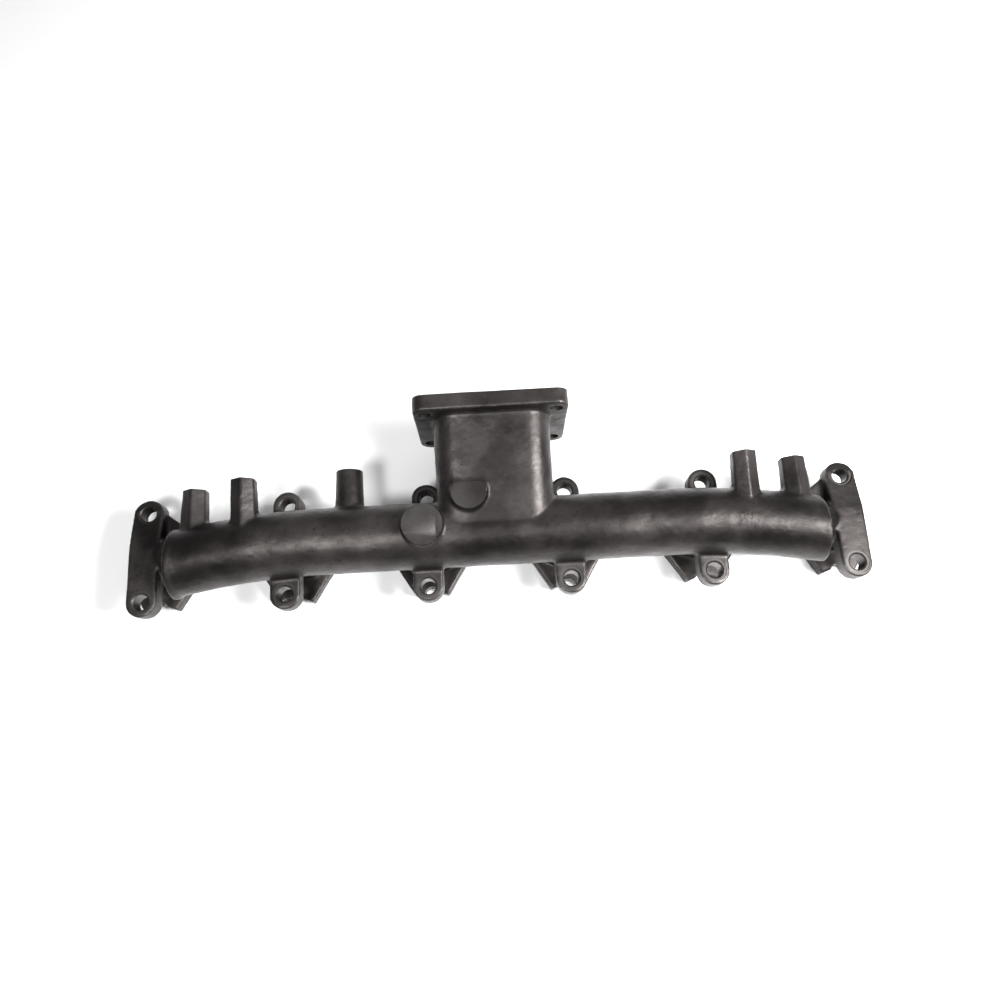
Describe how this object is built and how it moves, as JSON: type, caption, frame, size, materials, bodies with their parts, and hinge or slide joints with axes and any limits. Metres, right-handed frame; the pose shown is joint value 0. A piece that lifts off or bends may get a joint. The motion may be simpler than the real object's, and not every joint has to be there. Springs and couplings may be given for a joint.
{
  "type": "exhaust manifold",
  "caption": "Cast-iron log exhaust manifold: drooping log with port runners and flanges, bolt lugs, end bars, heat-shield posts and a central riser to a turbocharger flange.",
  "frame": {"origin": "centre of the box round the part, on the plane of the six port faces, which is the cylinder head's face", "axes": "+X along the log, +Y up to the turbo flange as it stands on the engine, +Z away from the cylinder head"},
  "size_m": [0.664, 0.1582, 0.1175],
  "materials": {
    "cast_iron": "bare grey-brown cast iron, shot-blasted, satin, with bright worn edges",
    "machined_iron": "cast iron with a milled face, duller and darker where it is still as cast"
  },
  "bodies": {
    "root": {"log_end_left": "cast_iron", "log_bend_left": "cast_iron", "log_tube_left": "cast_iron", "log_tube_right": "cast_iron", "log_bend_right": "cast_iron", "log_end_right": "cast_iron", "collector_left": "cast_iron", "collector_right": "cast_iron", "turbo_riser": "cast_iron", "divider_wall": "cast_iron", "turbo_flange": "machined_iron", "port_runner_1": "cast_iron", "port_runner_2": "cast_iron", "port_runner_3": "cast_iron", "port_runner_4": "cast_iron", "port_runner_5": "cast_iron", "port_runner_6": "cast_iron", "port_flange_1": "cast_iron", "port_flange_2": "cast_iron", "port_flange_3": "cast_iron", "port_flange_4": "cast_iron", "port_flange_5": "cast_iron", "port_flange_6": "cast_iron", "upper_lug_2": "cast_iron", "upper_lug_3": "cast_iron", "upper_lug_4": "cast_iron", "upper_lug_5": "cast_iron", "lower_lug_2": "cast_iron", "lower_lug_3": "cast_iron", "lower_lug_4": "cast_iron", "lower_lug_5": "cast_iron", "end_bar_left": "cast_iron", "end_bar_right": "cast_iron", "shield_post_1": "cast_iron", "shield_post_2": "cast_iron", "shield_post_3": "cast_iron", "shield_post_4": "cast_iron", "shield_post_5": "cast_iron", "shield_boss": "machined_iron", "riser_pad": "machined_iron"}
  },
  "joints": []
}
